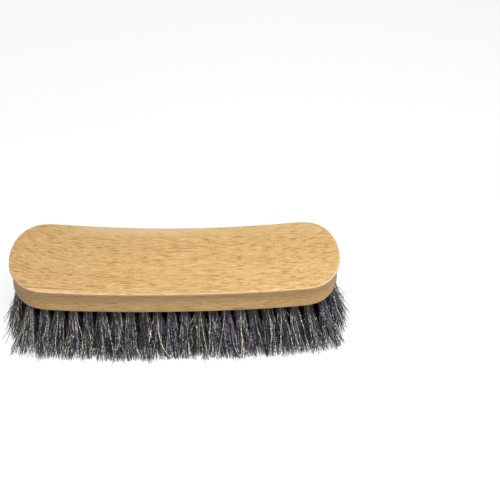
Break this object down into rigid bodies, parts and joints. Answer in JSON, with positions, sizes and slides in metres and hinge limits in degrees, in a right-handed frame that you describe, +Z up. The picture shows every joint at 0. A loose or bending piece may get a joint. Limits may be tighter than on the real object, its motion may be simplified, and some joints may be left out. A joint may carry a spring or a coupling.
{
  "type": "shoe shine brush",
  "caption": "Oblong wooden shoe shine brush: a gently bent beech handle block with rounded ends over close crosswise rows of fanned grey horsehair tufts.",
  "frame": {"origin": "bottom centre of the bounding box, in the plane of the flat-trimmed hair tips the brush stands on", "axes": "+X along the length of the handle, +Y across it, +Z up from the hair tips towards the handle"},
  "size_m": [0.214, 0.0638, 0.0645],
  "materials": {
    "handle_beech": "satin clear-finished beech with fine brown flecks",
    "horsehair": "mixed grey and black natural hair with stray white strands"
  },
  "bodies": {
    "root": {"handle_block": "handle_beech", "tuft_row_01": "horsehair", "tuft_row_02": "horsehair", "tuft_row_03": "horsehair", "tuft_row_04": "horsehair", "tuft_row_05": "horsehair", "tuft_row_06": "horsehair", "tuft_row_07": "horsehair", "tuft_row_08": "horsehair", "tuft_row_09": "horsehair", "tuft_row_10": "horsehair", "tuft_row_11": "horsehair", "tuft_row_12": "horsehair", "tuft_row_13": "horsehair", "tuft_row_14": "horsehair", "tuft_row_15": "horsehair", "tuft_row_16": "horsehair", "tuft_row_17": "horsehair", "tuft_row_18": "horsehair", "tuft_row_19": "horsehair", "tuft_row_20": "horsehair", "tuft_row_21": "horsehair", "tuft_row_22": "horsehair", "tuft_row_23": "horsehair", "tuft_row_24": "horsehair"}
  },
  "joints": []
}
